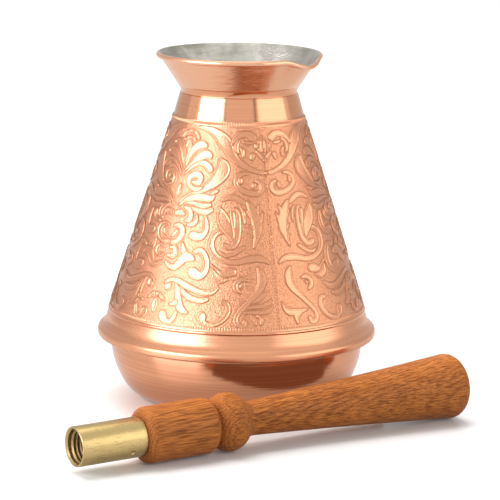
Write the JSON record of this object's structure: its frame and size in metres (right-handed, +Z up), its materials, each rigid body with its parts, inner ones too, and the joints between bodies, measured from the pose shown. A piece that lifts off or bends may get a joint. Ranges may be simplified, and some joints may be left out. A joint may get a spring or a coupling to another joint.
{
  "type": "coffee pot",
  "caption": "Waisted coffee pot of embossed copper with a flared pouring mouth and a screw stud; its turned wooden handle with a threaded brass ferrule lies unscrewed beside it.",
  "frame": {"origin": "centre of the pot's foot, on the table", "axes": "+Z up along the pot's axis; +Y away from the viewer of the picture; +X to the viewer's right"},
  "size_m": [0.1222, 0.1473, 0.1116],
  "materials": {
    "copper": "polished copper sheet, embossed ornament on a stippled ground, tinned inside",
    "tin": "satin tin solder",
    "brass": "satin turned brass",
    "wood": "stained and varnished beech"
  },
  "bodies": {
    "pot": {"bowl": "copper", "cone_wall": "copper", "mouth_neck": "copper", "base_seam_solder": "tin", "handle_stud": "brass", "saddle_washer": "brass", "inner_washer": "brass"},
    "handle": {"grip": "wood", "ferrule": "brass", "ferrule_pin": "brass"}
  },
  "joints": [
    {"name": "handle_lift", "type": "slide", "parent": "pot", "child": "handle", "axis": [0, 0, 1], "range_m": [0, 0.15]}
  ]
}
